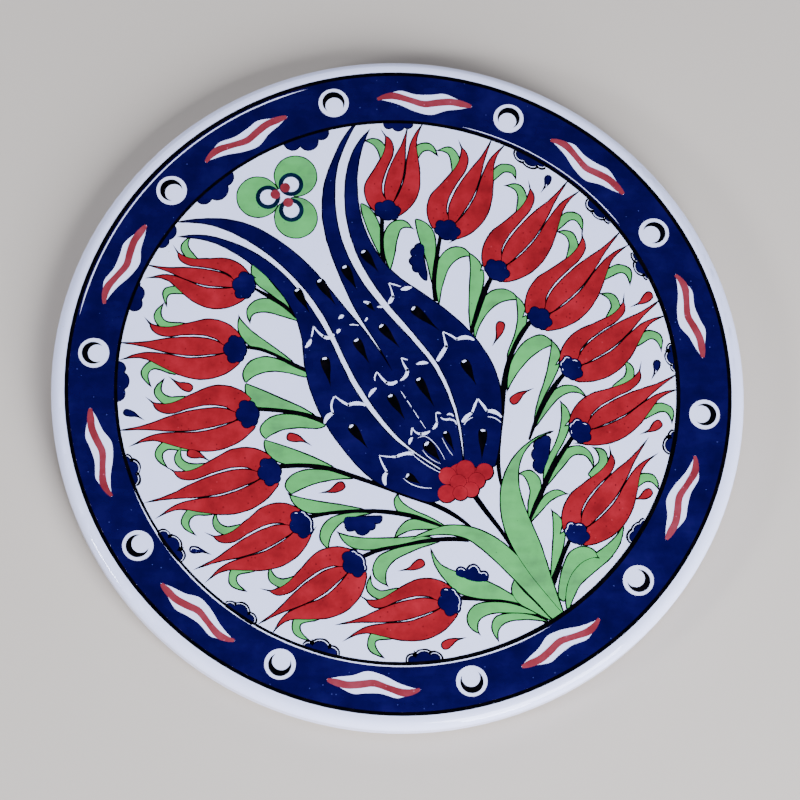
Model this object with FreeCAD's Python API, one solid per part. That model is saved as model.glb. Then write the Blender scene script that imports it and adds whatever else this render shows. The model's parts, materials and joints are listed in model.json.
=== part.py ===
"""Hand painted ceramic plate: a flat disc of fired clay under a white glaze, painted with a tulip bouquet.

Millimetres, +Z up, origin at the centre of the footprint, +Y up the bouquet.
Every colour is its own fired layer lying on the glazed face.  The motifs are listed from back to front, and a
motif is trimmed by the ink margin of whatever is painted over it, so no two layers share the same space.
"""
import FreeCAD, Part
import math
import os

# ---- driving dimensions (mm) ----
RADIUS = 90.0          # outside of the glazed rim
GLAZE = 0.4            # thickness of the white glaze
PAD_T = 2.0            # felt pad
PAD_OUT = 1.0          # how far the pads stand below the foot
PAD_R = 6.0
PAD_AT = 62.0          # radius of the circle the pads stand on
PADS = 4
CLAY = 8.5             # foot to glazed face
EDGE_R = 2.7           # rounding of the top edge, on the glaze
HEEL_R = 3.4           # rounding of the bottom edge, on the glaze
RECESS_R = 78.0        # underside recess inside the foot
RECESS = 1.0
GLAZE_LINE = 35.0      # degrees down the heel where the glaze stops
PAINT = 0.05           # thickness of a fired colour
INK = 0.2              # margin kept for the drawn contour round a colour
FACE = PAD_OUT + CLAY  # height of the painted face

LINE_IN, LINE_OUT = (72.4, 73.4), (85.5, 86.5)   # inside and outside of the two black lines
LINE_OFF = (-0.35, -0.35)                        # the inner line is drawn a little off centre
LINE_THICK = (-0.47, -0.23)                      # and is heavier to the lower right: centre of its inside
# bare hairlines: radius, first bearing, last bearing, width
HAIRS = ((73.75, -158.0, -58.0, 0.38), (73.35, 37.0, 77.0, 0.24), (84.95, 106.0, 168.0, 0.38))
MOON_R, MOON_AT = 4.0, 79.5                      # bare moons in the border
CRESCENT_OUT, CRESCENT_IN = 2.95, 2.35           # radii of the two arcs of a crescent
CRESCENT_OFF = 1.0                               # distance between their centres
TREFOIL_LOBE, TREFOIL_RING, TREFOIL_EYE, TREFOIL_DOT = 5.5, 3.25, 2.1, 1.3   # radii in the trefoil
STEM_SPREAD = 1.25     # how much wider a stem fires than it is drawn
HOOK_ROOT = 1.8        # how far a hook runs on under its petal
STEM_ROOT = 1.5        # how far a stem runs on under its cup
SMALLEST = 0.3         # mm2, below this a trimmed scrap is left out


def vec(p, z=0.0):
    return FreeCAD.Vector(p[0], p[1], z)


def polar(r, degrees):
    a = math.radians(degrees)
    return (r * math.cos(a), r * math.sin(a))


# ---- curves ----
def smooth(pts):
    """Cubic pieces of one soft curve through the points (centripetal tangents)."""
    n = len(pts)
    step = [math.dist(pts[i], pts[i + 1]) ** 0.5 for i in range(n - 1)]
    if n == 2:
        return [tuple(tuple(pts[0][k] + (pts[1][k] - pts[0][k]) * f / 3.0 for k in (0, 1)) for f in range(4))]
    vel = [None] * n
    for i in range(1, n - 1):
        a, b = step[i - 1], step[i]
        vel[i] = [
            (pts[i][k] - pts[i - 1][k]) / a - (pts[i + 1][k] - pts[i - 1][k]) / (a + b)
            + (pts[i + 1][k] - pts[i][k]) / b
            for k in (0, 1)
        ]
    vel[0] = [2 * (pts[1][k] - pts[0][k]) / step[0] - vel[1][k] for k in (0, 1)]
    vel[-1] = [2 * (pts[-1][k] - pts[-2][k]) / step[-1] - vel[-2][k] for k in (0, 1)]
    out = []
    for i in range(n - 1):
        h = step[i] / 3.0
        out.append((
            pts[i],
            tuple(pts[i][k] + vel[i][k] * h for k in (0, 1)),
            tuple(pts[i + 1][k] - vel[i + 1][k] * h for k in (0, 1)),
            pts[i + 1],
        ))
    return out


def closed(*runs):
    """Soft runs joined at corners; each run ends where the next begins."""
    return [smooth(list(run) + [runs[(i + 1) % len(runs)][0]]) for i, run in enumerate(runs)]


def at(seg, t):
    a, b, c, d = seg
    s = 1 - t
    return tuple(s**3 * a[k] + 3 * s * s * t * b[k] + 3 * s * t * t * c[k] + t**3 * d[k] for k in (0, 1))


def heading(seg, t):
    a, b, c, d = seg
    s = 1 - t
    x, y = (3 * s * s * (b[k] - a[k]) + 6 * s * t * (c[k] - b[k]) + 3 * t * t * (d[k] - c[k]) for k in (0, 1))
    length = math.hypot(x, y) or 1.0
    return (x / length, y / length)


def margin(loop, w, reach):
    """The loop grown by w as a polygon; sharp corners run on by reach, like the lift of a brush."""
    trace = [at(seg, t / 4.0) for run in loop for seg in run for t in range(4)]
    turn = sum(a[0] * b[1] - b[0] * a[1] for a, b in zip(trace, trace[1:] + trace[:1]))
    side = 1.0 if turn > 0 else -1.0
    out, corners = [], []
    for i, run in enumerate(loop):
        before, after = heading(loop[i - 1][-1], 1.0), heading(run[0], 0.0)
        n0, n1 = (side * before[1], -side * before[0]), (side * after[1], -side * after[0])
        dot = n0[0] * n1[0] + n0[1] * n1[1]
        convex = side * (before[0] * after[1] - before[1] * after[0]) > 0
        bis = (n0[0] + n1[0], n0[1] + n1[1])
        size = math.hypot(*bis)
        if size < 1e-6:
            bis, size = before, 1.0
        far = w * math.sqrt(2.0 / max(1.0 + dot, 1e-6))
        if convex and dot < 0.2:
            far = reach
        far = min(far, max(reach, w))
        # inside a hollow corner the grown edge starts this much further along
        skip = 0.0 if convex else 1.2 * math.sqrt(max(far**2 - w**2, 0.0))
        corners.append((run[0][0], (bis[0] / size * far, bis[1] / size * far), skip))
    for i, run in enumerate(loop):
        (corner, push, skip), (end, _, end_skip) = corners[i], corners[(i + 1) % len(loop)]
        out.append((corner[0] + push[0], corner[1] + push[1]))
        for j, seg in enumerate(run):
            for t in (0.0, 0.25, 0.5, 0.75):
                p, h = at(seg, t), heading(seg, t)
                if (j or t) and math.dist(p, corner) > skip and math.dist(p, end) > end_skip:
                    out.append((p[0] + side * h[1] * w, p[1] - side * h[0] * w))
    return out


# ---- shapes made of curves ----
def leaf(out_edge, back_edge):
    """A pointed blade: one edge out from the tip to the root, the other edge back."""
    return closed(out_edge[:-1], [out_edge[-1]] + back_edge)


def stroke(spine, widths):
    """A brush stroke along a soft spine; a zero width makes a pointed end."""
    left, right = [], []
    for i, p in enumerate(spine):
        a, b = spine[max(i - 1, 0)], spine[min(i + 1, len(spine) - 1)]
        d = math.dist(a, b)
        nx, ny = -(b[1] - a[1]) / d * widths[i] / 2, (b[0] - a[0]) / d * widths[i] / 2
        left.append((p[0] + nx, p[1] + ny))
        right.append((p[0] - nx, p[1] - ny))
    right.reverse()
    runs = [left[:-1] if widths[-1] == 0 else left]
    if widths[-1] == 0:
        runs.append([left[-1]] + right[1:] if widths[0] else [left[-1]] + right[1:-1])
    else:
        runs[0] = left[:-1]
        runs.append([left[-1]])
        runs.append(right if widths[0] else right[:-1])
    if widths[0]:
        runs[-1], last = runs[-1][:-1], runs[-1][-1]
        runs.append([last])
    return closed(*runs)


def drop(head, tail, r):
    """A round head drawn out to a point, fuller on one side."""
    d = math.dist(head, tail)
    ux, uy = (tail[0] - head[0]) / d, (tail[1] - head[1]) / d
    around = [tail]
    for s, n in ((0.72 * d, 0.5), (0.4 * d, 0.92), (0.1 * r, 1.0), (-0.75 * r, 0.7), (-r, 0.0),
                 (-0.75 * r, -0.7), (0.1 * r, -0.95), (0.4 * d, -0.6), (0.72 * d, -0.12)):
        around.append((head[0] + ux * s - uy * n * r, head[1] + uy * s + ux * n * r))
    return closed(around)


def scallop(cusps, bulge):
    """Round lobes between cusps, given anticlockwise; bulge is the lobe height over its chord."""
    runs = []
    for i, a in enumerate(cusps):
        b = cusps[(i + 1) % len(cusps)]
        h = bulge[i]
        dx, dy = b[0] - a[0], b[1] - a[1]
        lobe = [a]
        if h:
            lobe += [(a[0] + dx * f + dy * h * g, a[1] + dy * f - dx * h * g)
                     for f, g in ((0.18, 0.68), (0.5, 1.0), (0.82, 0.68))]
        runs.append(lobe)
    return closed(*runs)


# one tulip, drawn lying along +u with its near side petal towards +v, for a flower of unit length
PETAL_NEAR = ([(-0.055, 0.125), (0.06, 0.235), (0.22, 0.275), (0.42, 0.225), (0.6, 0.2), (0.74, 0.24)],
              [(0.70, 0.165), (0.60, 0.117), (0.44, 0.12), (0.27, 0.122), (0.15, 0.087)],
              (0.08, 0.03))
PETAL_MID = ([(0.08, 0.022), (0.2, 0.077), (0.40, 0.087), (0.60, 0.060), (0.79, 0.015), (0.94, 0.0)],
             [(0.79, -0.018), (0.60, -0.058), (0.40, -0.077), (0.2, -0.056)],
             (0.08, -0.027))
PETAL_FAR = ([(0.08, -0.046), (0.22, -0.087), (0.4, -0.106), (0.60, -0.085), (0.78, -0.088), (0.92, -0.14)],
             [(0.78, -0.135), (0.62, -0.20), (0.45, -0.265), (0.28, -0.29), (0.12, -0.255), (0.0, -0.18)],
             (-0.055, -0.11))


def tulip(cup, mid_tip, near_tip, far_tip, near_belly, far_belly):
    """Three petals fitted to one flower: its cup, the three tips and how far each side swells."""
    length = math.dist(cup, mid_tip)
    u = ((mid_tip[0] - cup[0]) / length, (mid_tip[1] - cup[1]) / length)
    v = (-u[1], u[0])
    if (near_belly[0] - cup[0]) * v[0] + (near_belly[1] - cup[1]) * v[1] < 0:
        v = (-v[0], -v[1])

    def local(p):
        dx, dy = p[0] - cup[0], p[1] - cup[1]
        return ((dx * u[0] + dy * u[1]) / length, (dx * v[0] + dy * v[1]) / length)

    swell = {"near": local(near_belly)[1] / 0.275, "far": local(far_belly)[1] / -0.29}
    tips = {"near": local(near_tip), "far": local(far_tip), "mid": (1.0, 0.0)}
    home = {"near": (0.82, 0.28), "far": (0.99, -0.155), "mid": (1.0, 0.0)}

    def place(p, which):
        a, b = p
        wide = swell["near" if b > 0 else "far"] if which == "mid" else swell[which]
        scale = wide if abs(b) > 0.15 else 1.0 + (wide - 1.0) * abs(b) / 0.15
        t = min(max((a - 0.35) / (home[which][0] - 0.35), 0.0), 1.0)
        t = t * t * (3 - 2 * t)
        want = (tips[which][0] - home[which][0], tips[which][1] - home[which][1] * wide)
        a, b = a + want[0] * t, b * scale + want[1] * t
        return (cup[0] + length * (a * u[0] + b * v[0]), cup[1] + length * (a * u[1] + b * v[1]))

    out = []
    for which, (far_side, back, root) in (("near", PETAL_NEAR), ("mid", PETAL_MID), ("far", PETAL_FAR)):
        edge = [place(p, which) for p in far_side]
        rest = [place(p, which) for p in back] + [place(root, which)]
        out.append(closed(edge[:-1], [edge[-1]] + rest))
    return out


def cup_of(cup, mid_tip, size):
    """The lobed cup that holds the petals."""
    length = math.dist(cup, mid_tip)
    u = ((mid_tip[0] - cup[0]) / length, (mid_tip[1] - cup[1]) / length)
    pts = [(-2.7, -1.8), (-1.0, -3.3), (1.4, -1.9), (1.4, 1.9), (-1.0, 3.3), (-2.7, 1.8)]
    pts = [(cup[0] + size * (a * u[0] - b * u[1]), cup[1] + size * (a * u[1] + b * u[0])) for a, b in pts]
    return scallop(pts, (0.3, 0.42, 0.34, 0.42, 0.3, 0.2))


# ---- where everything is painted ----
# cup, middle tip, near tip, far tip, near swell, far swell
TULIPS_LEFT = [
    ((-40.8, 27.0), (-65.3, 32.2), (-59.3, 36.8), (-65.3, 29.0), (-44.5, 34.0), (-47.0, 20.3)),
    ((-43.0, 9.6), (-72.3, 11.1), (-66.8, 17.3), (-72.2, 6.8), (-49.5, 17.6), (-51.0, 1.5)),
    ((-39.7, -7.8), (-72.0, -12.4), (-66.2, -4.3), (-69.5, -16.3), (-46.0, -0.1), (-48.5, -17.6)),
    ((-34.0, -23.2), (-65.0, -31.4), (-60.7, -22.8), (-62.5, -35.2), (-40.5, -16.6), (-42.5, -34.2)),
    ((-25.8, -37.0), (-52.0, -48.6), (-50.2, -40.2), (-49.6, -51.7), (-32.5, -31.3), (-31.5, -48.2)),
    ((-12.3, -47.3), (-36.0, -62.8), (-35.8, -54.8), (-33.0, -65.2), (-19.0, -42.8), (-14.0, -59.3)),
    ((12.0, -57.0), (-16.0, -63.0), (-11.0, -56.3), (-14.5, -66.8), (7.0, -50.7), (4.5, -67.0)),
]
TULIPS_RIGHT = [
    ((-2.8, 48.3), (2.6, 71.0), (-3.6, 70.6), (6.5, 72.3), (-8.8, 54.0), (5.6, 54.5)),
    ((13.0, 43.0), (24.8, 67.8), (17.0, 67.8), (28.3, 66.8), (7.4, 49.5), (24.7, 50.0)),
    ((26.0, 32.0), (44.8, 56.5), (35.5, 56.7), (48.0, 54.2), (21.7, 38.5), (39.0, 36.0)),
    ((37.0, 19.0), (58.3, 42.5), (49.3, 43.3), (60.5, 39.3), (33.5, 26.5), (49.5, 21.0)),
    ((45.0, 5.5), (68.5, 24.0), (60.0, 25.3), (69.7, 20.0), (43.0, 12.5), (56.5, 4.5)),
    ((47.0, -11.5), (72.4, 3.8), (64.0, 6.5), (72.7, 0.0), (45.2, -4.5), (57.5, -13.5)),
    ((45.5, -38.5), (64.0, -14.0), (55.2, -15.5), (66.3, -17.5), (41.8, -31.5), (57.0, -37.0)),
]

STEMS = [
    ([(19.0, -29.0), (22.0, -33.3), (25.5, -38.0), (29.2, -43.8)], (1.2, 1.1, 0.9, 0.8)),
    ([(-38.0, 26.3), (-34.0, 24.0), (-30.0, 21.5), (-26.8, 18.3)], (0.5, 0.9, 0.9, 0.6)),
    ([(-40.0, 10.2), (-36.0, 9.6), (-32.0, 8.0), (-28.0, 5.8), (-23.8, 3.9)], (0.7, 0.8, 0.7, 0.9, 0.8)),
    ([(-37.0, -6.4), (-31.0, -6.8), (-25.0, -7.7), (-19.0, -9.7)], (0.9, 0.9, 0.9, 1.0)),
    ([(-31.3, -21.7), (-25.0, -21.4), (-19.0, -22.0), (-12.0, -24.2), (-6.0, -26.3), (2.0, -29.3),
      (8.0, -31.3), (13.0, -33.8), (17.8, -37.3)], (1.0, 1.0, 1.0, 1.0, 0.9, 0.9, 1.0, 1.0, 0.6)),
    ([(-23.0, -34.9), (-18.0, -33.9), (-10.0, -33.3), (-3.0, -33.6), (3.0, -34.6), (7.0, -35.9),
      (11.0, -37.4)], (0.9, 0.8, 0.8, 1.0, 1.0, 0.8, 0.5)),
    ([(-9.5, -45.2), (-6.0, -43.7), (0.0, -42.4), (6.0, -41.2), (12.0, -40.6), (17.5, -40.9)],
     (0.9, 0.9, 0.7, 0.9, 1.0, 0.8)),
    ([(15.0, -56.0), (20.0, -56.1), (26.0, -56.6), (31.0, -58.1), (35.0, -60.6), (38.3, -63.2)],
     (0.9, 1.1, 1.0, 0.8, 0.9, 0.9)),
    ([(43.6, -40.3), (41.3, -45.3), (39.7, -50.0), (38.6, -54.0)], (0.8, 1.0, 1.1, 0.5)),
    ([(44.6, -13.5), (42.0, -17.3), (39.0, -22.3), (36.5, -27.8), (34.5, -32.2), (33.0, -35.8)],
     (0.9, 1.0, 1.1, 1.1, 1.0, 0.5)),
    ([(43.2, 4.1), (40.3, 0.4), (37.6, -4.0), (35.4, -8.7), (33.4, -14.2)], (0.8, 1.1, 1.0, 0.9, 0.5)),
    ([(35.0, 18.6), (32.0, 14.6), (29.3, 9.3), (27.8, 4.3), (26.9, -1.0), (26.8, -7.0), (25.9, -14.0),
      (25.3, -20.0), (26.3, -27.5)], (0.8, 1.1, 1.0, 1.2, 1.2, 0.5, 0.5, 0.9, 0.5)),
    ([(24.3, 29.8), (22.2, 25.4), (20.3, 19.8), (18.6, 14.3)], (0.9, 1.2, 1.1, 0.7)),
    ([(10.7, 39.3), (9.8, 34.0), (9.2, 29.0), (9.5, 23.0)], (0.8, 1.0, 1.0, 0.8)),
    ([(-4.3, 45.0), (-4.4, 40.0), (-4.2, 35.0), (-3.2, 31.8)], (0.9, 0.9, 0.8, 0.5)),
]

# blades that spring in pairs from the stems: edge out from the tip, edge back
LEAVES = [
    ([(-37.9, 33.2), (-38.3, 30.3), (-36.9, 27.4), (-33.5, 24.8), (-28.6, 21.0)],
     [(-30.0, 23.6), (-33.0, 27.3), (-35.7, 30.8)]),
    ([(-38.9, 17.6), (-39.4, 20.3), (-37.3, 22.7), (-33.8, 23.2), (-30.3, 21.3), (-26.4, 17.5)],
     [(-30.8, 18.9), (-34.8, 19.9), (-37.9, 19.3)]),
    ([(-41.5, 17.8), (-41.6, 14.6), (-39.4, 11.2), (-36.0, 9.3), (-31.5, 7.6), (-26.8, 5.3)],
     [(-30.0, 8.1), (-34.5, 11.5), (-38.6, 14.6)]),
    ([(-39.8, 0.8), (-40.3, 3.6), (-38.4, 6.3), (-35.0, 7.5), (-30.8, 6.6), (-24.0, 3.2)],
     [(-24.2, 2.5), (-28.5, 3.4), (-33.0, 3.9), (-37.0, 2.9)]),
    ([(-39.7, 0.2), (-39.6, -2.2), (-37.8, -5.0), (-34.5, -6.8), (-29.5, -6.7), (-22.3, -8.0)],
     [(-25.5, -6.0), (-30.5, -3.8), (-35.3, -1.6)]),
    ([(-34.6, -14.2), (-35.9, -11.8), (-34.0, -9.2), (-30.3, -7.9), (-25.5, -8.3), (-19.4, -10.6)],
     [(-21.0, -11.3), (-26.5, -11.2), (-31.2, -12.1)]),
    ([(-34.8, -14.8), (-34.4, -17.5), (-32.0, -20.0), (-28.0, -21.2), (-22.5, -21.2), (-16.4, -22.4)],
     [(-20.0, -20.4), (-24.5, -18.4), (-29.5, -16.5)]),
    ([(-28.0, -28.8), (-29.4, -26.7), (-27.8, -24.1), (-24.3, -22.7), (-19.0, -22.7), (-12.0, -24.6)],
     [(-17.5, -25.0), (-22.5, -26.2)]),
    ([(-28.2, -29.4), (-26.9, -31.8), (-23.7, -33.7), (-18.5, -33.6), (-9.0, -33.1)],
     [(-14.8, -31.9), (-21.0, -31.0)]),
    ([(-18.7, -43.0), (-20.4, -40.8), (-20.1, -37.9), (-17.7, -35.3), (-13.8, -34.1), (-8.0, -33.9)],
     [(-12.0, -34.9), (-15.2, -36.3), (-17.7, -39.2)]),
    ([(-15.6, -39.4), (-13.2, -42.4), (-9.3, -43.4), (-4.0, -42.8), (2.0, -41.8), (8.0, -40.4)],
     [(5.5, -40.0), (0.0, -40.4), (-7.0, -40.6), (-12.0, -40.3)]),
    ([(-3.9, -52.4), (-6.4, -50.8), (-7.0, -48.2), (-5.7, -45.5), (-2.0, -43.5), (3.5, -42.2),
      (10.0, -41.2)],
     [(5.5, -42.6), (1.5, -44.3), (-2.2, -46.5), (-3.9, -49.3)]),
    ([(-0.8, -29.2), (-1.5, -31.0), (-0.6, -33.2), (2.2, -34.3), (6.0, -35.5), (11.2, -37.2)],
     [(7.5, -35.0), (3.5, -33.2), (0.6, -31.3)]),
    ([(-1.3, -40.0), (0.2, -37.2), (2.6, -35.6), (6.0, -36.0), (11.2, -37.7)],
     [(6.5, -37.9), (2.6, -38.2)]),
    ([(-9.8, 49.6), (-9.1, 46.0), (-7.3, 41.0), (-5.0, 36.0)], [(-4.5, 40.5), (-5.6, 45.0), (-7.6, 48.3)]),
    ([(3.2, 43.3), (1.2, 45.0), (-1.4, 44.6), (-3.4, 42.0), (-3.8, 37.5), (-2.3, 31.8)],
     [(-1.3, 35.5), (-0.6, 39.6), (0.7, 43.0)]),
    ([(4.6, 45.4), (7.0, 44.5), (8.9, 42.3), (9.6, 38.5), (9.2, 33.5), (8.6, 28.6)],
     [(7.6, 33.5), (6.4, 37.5), (5.2, 41.5)]),
    ([(18.9, 35.6), (16.2, 37.8), (13.0, 37.2), (10.5, 34.2), (9.7, 29.5), (10.4, 22.8)],
     [(11.5, 28.2), (13.4, 32.9), (16.3, 35.3)]),
    ([(18.7, 36.0), (20.9, 34.0), (22.1, 30.7), (21.7, 26.9), (20.2, 22.0), (18.7, 15.5)],
     [(18.4, 20.5), (18.6, 27.0), (18.9, 32.0)]),
    ([(31.0, 23.9), (28.3, 26.2), (24.9, 26.1), (21.9, 23.6), (20.0, 19.2), (19.7, 13.5)],
     [(22.3, 19.2), (26.0, 22.8)]),
    ([(30.7, 24.4), (32.5, 22.2), (33.2, 18.6), (32.2, 14.6), (30.2, 10.0), (28.0, 5.2)],
     [(28.5, 9.5), (30.2, 14.0), (31.1, 19.0)]),
    ([(40.0, 11.7), (37.3, 13.9), (33.8, 12.9), (30.8, 9.8), (28.8, 5.5), (28.1, -0.3)],
     [(31.2, 4.8), (35.0, 8.9)]),
    ([(39.9, 12.2), (41.6, 9.6), (41.5, 6.2), (39.7, 1.9), (37.2, -2.8), (35.0, -8.0)],
     [(36.2, -3.0), (37.9, 2.0), (39.1, 7.0)]),
    ([(47.9, -2.0), (45.4, 0.2), (42.0, 0.1), (38.7, -2.4), (36.3, -6.5), (34.6, -11.2)],
     [(38.2, -6.3), (41.3, -2.7), (44.8, -1.1)]),
    ([(42.0, -4.4), (43.7, -6.6), (43.9, -9.6), (42.5, -13.8), (40.0, -18.4), (37.0, -24.5)],
     [(37.8, -20.0), (40.5, -14.6), (41.9, -9.5)]),
    ([(49.8, -20.8), (48.8, -17.2), (46.2, -15.8), (42.6, -16.9), (39.6, -21.0), (37.4, -26.8)],
     [(41.8, -21.3), (45.0, -18.0), (47.9, -18.2)]),
    ([(31.0, -23.2), (33.5, -22.5), (35.8, -24.6), (36.0, -28.0), (34.5, -32.0), (33.0, -35.5)],
     [(33.0, -31.2), (33.5, -27.5), (32.3, -24.2)]),
    ([(42.4, -28.4), (40.0, -27.6), (37.5, -28.8), (35.5, -31.6), (33.6, -35.6)],
     [(36.4, -32.6), (38.9, -30.0)]),
]

# the broad leaves at the root of the bouquet, back to front
ROOT_LEAVES = [
    ([(24.4, -66.4), (23.2, -63.6), (24.0, -61.2), (27.0, -60.1), (32.0, -60.2), (37.0, -61.9)],
     [(31.5, -61.4), (26.6, -62.2), (24.7, -64.1)]),
    ([(19.5, -64.9), (17.2, -62.8), (17.1, -60.2), (19.0, -57.9), (23.0, -57.1), (28.5, -57.6),
      (34.5, -60.1)],
     [(28.5, -59.7), (22.5, -60.0), (19.6, -61.9)]),
    ([(7.9, -44.0), (10.2, -47.4), (13.4, -49.0), (18.0, -50.4), (23.0, -52.2), (27.5, -54.7),
      (31.5, -57.6)],
     [(26.0, -56.4), (20.0, -56.0), (14.9, -54.6), (11.0, -50.8), (8.8, -47.2)]),
    ([(29.0, -51.4), (31.2, -54.2), (34.4, -57.4), (38.2, -61.6)], [(33.0, -58.9), (29.7, -56.8),
      (28.4, -54.2)]),
    ([(39.2, -33.4), (41.3, -35.4), (42.1, -38.6), (41.5, -42.6), (40.0, -46.8), (38.4, -50.6)],
     [(38.8, -45.5), (39.3, -39.5)]),
    ([(57.1, -37.2), (56.2, -41.4), (53.6, -45.3), (49.6, -48.8), (45.8, -52.3), (43.7, -56.3),
      (42.6, -59.3)],
     [(42.2, -55.0), (43.6, -50.0), (47.0, -46.2), (51.0, -43.6), (55.0, -40.2)]),
    ([(50.4, -45.1), (49.0, -43.1), (46.5, -42.5), (43.6, -43.9), (41.7, -47.5), (40.6, -52.0),
      (40.3, -55.5)],
     [(41.6, -56.5), (42.4, -52.5), (44.3, -48.6), (47.2, -46.0)]),
    ([(3.2, -40.5), (7.0, -38.6), (12.0, -37.1), (18.0, -37.5), (24.0, -40.1), (29.5, -44.6), (35.3, -51.3),
      (40.6, -58.2), (41.0, -60.6)],
     [(38.8, -61.2), (35.0, -57.3), (29.8, -51.8), (24.2, -46.1), (20.3, -42.6), (17.0, -40.4),
      (12.5, -39.3),
      (7.5, -39.5)]),
    ([(38.8, -12.1), (34.9, -13.9), (31.0, -17.0), (28.0, -21.2), (26.2, -26.2), (25.8, -31.5),
      (26.7, -37.5),
      (29.3, -43.6), (33.2, -49.8), (37.6, -55.4), (41.3, -59.9)],
     [(39.6, -54.5), (37.9, -49.0), (35.9, -42.3), (33.2, -35.5), (31.0, -29.3), (30.3, -24.3),
      (31.1, -19.3),
      (33.8, -15.0)]),
]

# small hooks that show behind the side petals: tip, bend, root
HOOKS = [
    [(-54.8, 39.6), (-55.9, 37.3), (-53.5, 33.5)],
    [(-60.6, 21.9), (-60.4, 25.0), (-55.8, 25.6)],
    [(-61.7, 21.1), (-62.7, 18.3), (-60.8, 15.9), (-57.0, 15.5)],
    [(-64.7, 0.1), (-65.8, 3.2), (-63.6, 5.3), (-59.5, 4.2)],
    [(-61.4, 0.7), (-62.4, -2.0), (-60.2, -4.3), (-56.0, -4.3)],
    [(-60.3, -21.6), (-62.0, -18.6), (-60.2, -16.3), (-56.5, -16.5)],
    [(-56.4, -17.0), (-57.0, -20.0), (-54.6, -22.1), (-50.0, -22.1)],
    [(-53.0, -39.4), (-55.1, -36.6), (-53.5, -33.9), (-49.5, -33.5)],
    [(-47.4, -34.5), (-46.9, -37.4), (-44.5, -38.8), (-40.5, -38.0)],
    [(-40.2, -54.1), (-42.8, -52.0), (-42.3, -49.4), (-38.5, -48.4)],
    [(-33.4, -48.7), (-32.7, -51.2), (-30.2, -52.4), (-26.5, -51.4)],
    [(-23.9, -66.9), (-26.6, -64.6), (-26.3, -62.1), (-22.5, -61.0)],
    [(-7.9, -51.0), (-7.8, -53.7), (-5.4, -55.3), (-1.5, -54.7)],
    [(-5.2, -71.1), (-7.6, -68.6), (-7.0, -66.2), (-3.0, -65.6)],
    [(-8.2, 67.2), (-6.1, 66.9), (-4.4, 65.2), (-3.6, 62.5)],
    [(10.0, 63.9), (8.2, 65.6), (6.0, 65.3), (4.6, 63.5)],
    [(11.1, 64.8), (13.6, 64.7), (15.0, 62.6), (15.3, 59.5)],
    [(30.9, 57.7), (30.0, 59.6), (27.6, 59.9), (25.3, 58.0)],
    [(29.0, 55.1), (31.5, 54.5), (32.7, 52.0), (32.3, 49.0)],
    [(48.3, 43.4), (47.1, 46.4), (44.7, 46.7), (42.2, 44.6)],
    [(42.4, 42.4), (44.9, 41.6), (46.0, 39.0), (45.3, 36.0)],
    [(60.6, 28.9), (60.0, 31.7), (57.6, 32.4), (54.8, 31.0)],
    [(53.4, 25.4), (55.7, 24.5), (56.7, 22.0), (55.5, 19.4)],
    [(68.3, 10.9), (67.5, 13.7), (65.3, 14.4), (62.5, 12.8)],
    [(58.7, 7.1), (60.0, 5.0), (59.6, 2.6), (57.5, 0.8)],
    [(70.6, -8.6), (70.0, -6.0), (67.6, -5.2), (64.7, -6.6)],
    [(50.6, -16.4), (52.2, -17.6), (52.4, -20.2), (50.5, -22.5)],
    [(66.4, -26.5), (65.0, -24.3), (62.9, -24.1), (60.8, -25.6)],
]

# three or four round lobes on the inner ring: lobe centre and radius, with the side they grow from hidden
RING_CLOUDS = [
    [(-27.8, 66.6, 2.2), (-23.6, 66.9, 2.5), (-20.3, 69.3, 1.9)],
    [(-51.0, 51.3, 2.1), (-47.6, 53.3, 2.9), (-45.6, 56.6, 2.3)],
    [(-62.0, 39.0, 1.9), (-60.5, 41.6, 2.3), (-59.6, 44.3, 1.7)],
    [(-68.7, 21.7, 1.9), (-68.4, 24.5, 2.1), (-69.0, 27.3, 1.6)],
    [(-72.6, 4.2, 1.7), (-72.3, 0.8, 2.4), (-72.8, -2.6, 1.9)],
    [(-70.4, -20.4, 1.0), (-69.0, -22.4, 1.7), (-69.0, -25.2, 1.6)],
    [(-60.6, -40.3, 1.2), (-58.6, -42.6, 2.0), (-57.0, -45.3, 1.3)],
    [(-43.6, -58.9, 1.2), (-41.2, -60.1, 2.1), (-38.7, -61.8, 1.2)],
    [(-23.6, -69.1, 1.1), (-20.7, -69.5, 2.1), (-17.8, -70.5, 1.3)],
    [(2.8, -72.2, 1.0), (5.6, -72.0, 2.0), (8.3, -72.0, 1.4)],
    [(60.3, -39.8, 1.4), (61.8, -38.3, 1.8), (63.0, -36.6, 1.1)],
    [(71.4, 10.8, 0.9), (71.6, 8.4, 1.7), (72.2, 5.8, 0.9)],
    [(71.2, -12.8, 0.9), (70.7, -15.4, 1.9), (70.8, -18.0, 1.2)],
    [(63.3, 36.2, 1.5), (64.3, 33.2, 2.0), (65.8, 31.0, 1.1)],
    [(51.4, 50.2, 1.3), (53.6, 48.6, 2.0), (55.9, 46.8, 1.3)],
    [(33.0, 64.0, 1.6), (35.6, 62.9, 2.2), (38.1, 61.8, 1.2)],
    [(-2.4, 72.0, 1.3), (0.1, 71.8, 1.7), (2.6, 72.1, 1.3)],
]

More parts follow.
